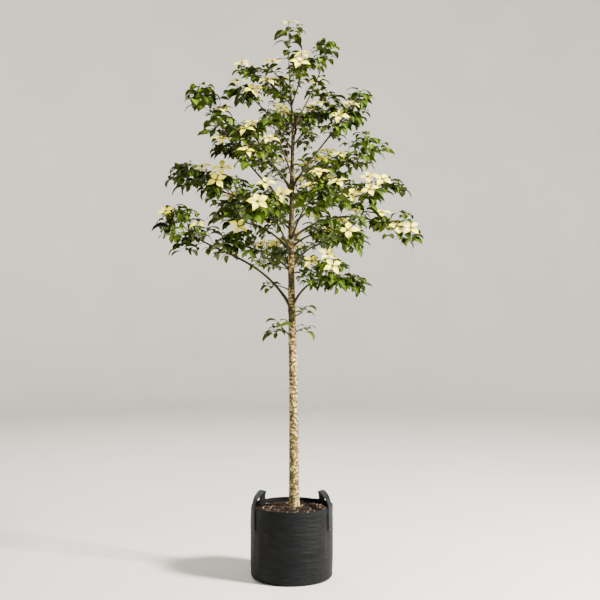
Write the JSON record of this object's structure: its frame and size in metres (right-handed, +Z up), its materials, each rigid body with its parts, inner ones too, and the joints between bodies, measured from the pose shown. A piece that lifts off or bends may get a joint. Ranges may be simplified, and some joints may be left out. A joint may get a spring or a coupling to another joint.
{
  "type": "potted flowering dogwood tree",
  "caption": "Young clear-stemmed flowering dogwood tree with creamy four-pointed blossom, grown in a round black fabric bag with two lifting handles.",
  "frame": {"origin": "middle of the bag's flat underside", "axes": "+Z up the trunk, -Y to the front, +X to the right seen from the front"},
  "size_m": [1.3149, 1.0033, 2.7236],
  "materials": {
    "bark": "matt mottled bark",
    "foliage": "satin leaves with creamy bracts",
    "bag_fabric": "matt woven fabric",
    "strap_webbing": "satin webbing",
    "bark_mulch": "rough bark chips"
  },
  "bodies": {
    "root": {"bag": "bag_fabric", "bough_back_high": "bark", "bough_back_left": "bark", "bough_back_left_low": "bark", "bough_back_low": "bark", "bough_back_right": "bark", "bough_back_right_low": "bark", "bough_front_left": "bark", "bough_front_right": "bark", "bough_front_right_low": "bark", "bough_left_climber": "bark", "bough_left_high": "bark", "bough_left_low": "bark", "bough_left_low_inner": "bark", "bough_left_upper": "bark", "bough_right_climber": "bark", "bough_right_high": "bark", "bough_right_leader": "bark", "bough_right_long": "bark", "bough_right_low": "bark", "bough_right_middle": "bark", "handle_left": "strap_webbing", "handle_right": "strap_webbing", "mass_back_high": "foliage", "mass_back_left": "foliage", "mass_back_left_low": "foliage", "mass_back_low": "foliage", "mass_back_right": "foliage", "mass_back_right_low": "foliage", "mass_back_top": "foliage", "mass_front_crown": "foliage", "mass_front_left": "foliage", "mass_front_right": "foliage", "mass_front_right_low": "foliage", "mass_front_upper": "foliage", "mass_leader": "foliage", "mass_left_climber": "foliage", "mass_left_crown": "foliage", "mass_left_front": "foliage", "mass_left_high": "foliage", "mass_left_low": "foliage", "mass_left_low_inner": "foliage", "mass_left_middle": "foliage", "mass_left_top": "foliage", "mass_left_upper": "foliage", "mass_right_climber": "foliage", "mass_right_high": "foliage", "mass_right_leader": "foliage", "mass_right_long": "foliage", "mass_right_low": "foliage", "mass_right_middle": "foliage", "mass_right_upper": "foliage", "mass_shoot_bend": "foliage", "mass_shoot_left": "foliage", "mass_shoot_middle": "foliage", "mass_shoot_right": "foliage", "soil": "bark_mulch", "trunk": "bark"}
  },
  "joints": []
}
